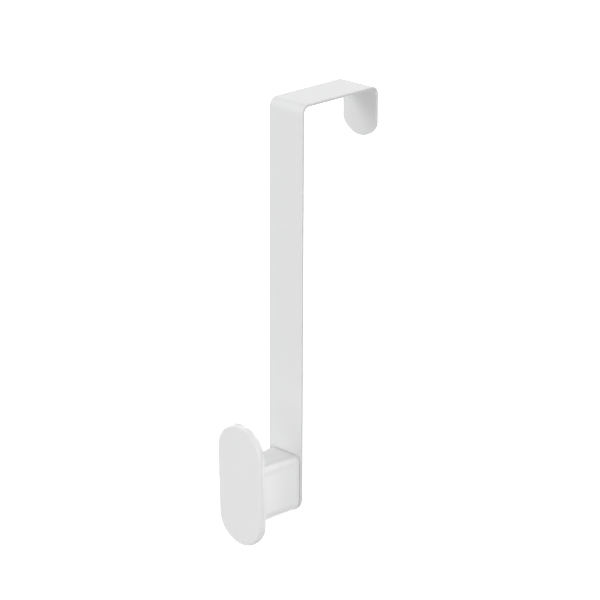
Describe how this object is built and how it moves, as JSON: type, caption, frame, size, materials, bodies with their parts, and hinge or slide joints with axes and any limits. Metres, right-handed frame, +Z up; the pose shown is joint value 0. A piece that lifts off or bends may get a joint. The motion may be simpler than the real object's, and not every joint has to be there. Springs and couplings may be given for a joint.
{
  "type": "over-the-door coat hook",
  "caption": "Over-the-door coat hook: a strip of white coated steel bent over the door, with an oblong glossy plastic knob near its lower end.",
  "frame": {"origin": "middle of the strap's underside, where it sits on the door's top edge", "axes": "+X across the strap, +Y from the knob towards the back of the door, +Z up"},
  "size_m": [0.027, 0.0769, 0.1977],
  "materials": {
    "coated_steel": "satin white powder coat",
    "white_plastic": "glossy moulded white",
    "zinc_steel": "bright zinc plate"
  },
  "bodies": {
    "root": {"strap": "coated_steel", "knob": "white_plastic", "screw_upper": "zinc_steel", "screw_lower": "zinc_steel"}
  },
  "joints": []
}
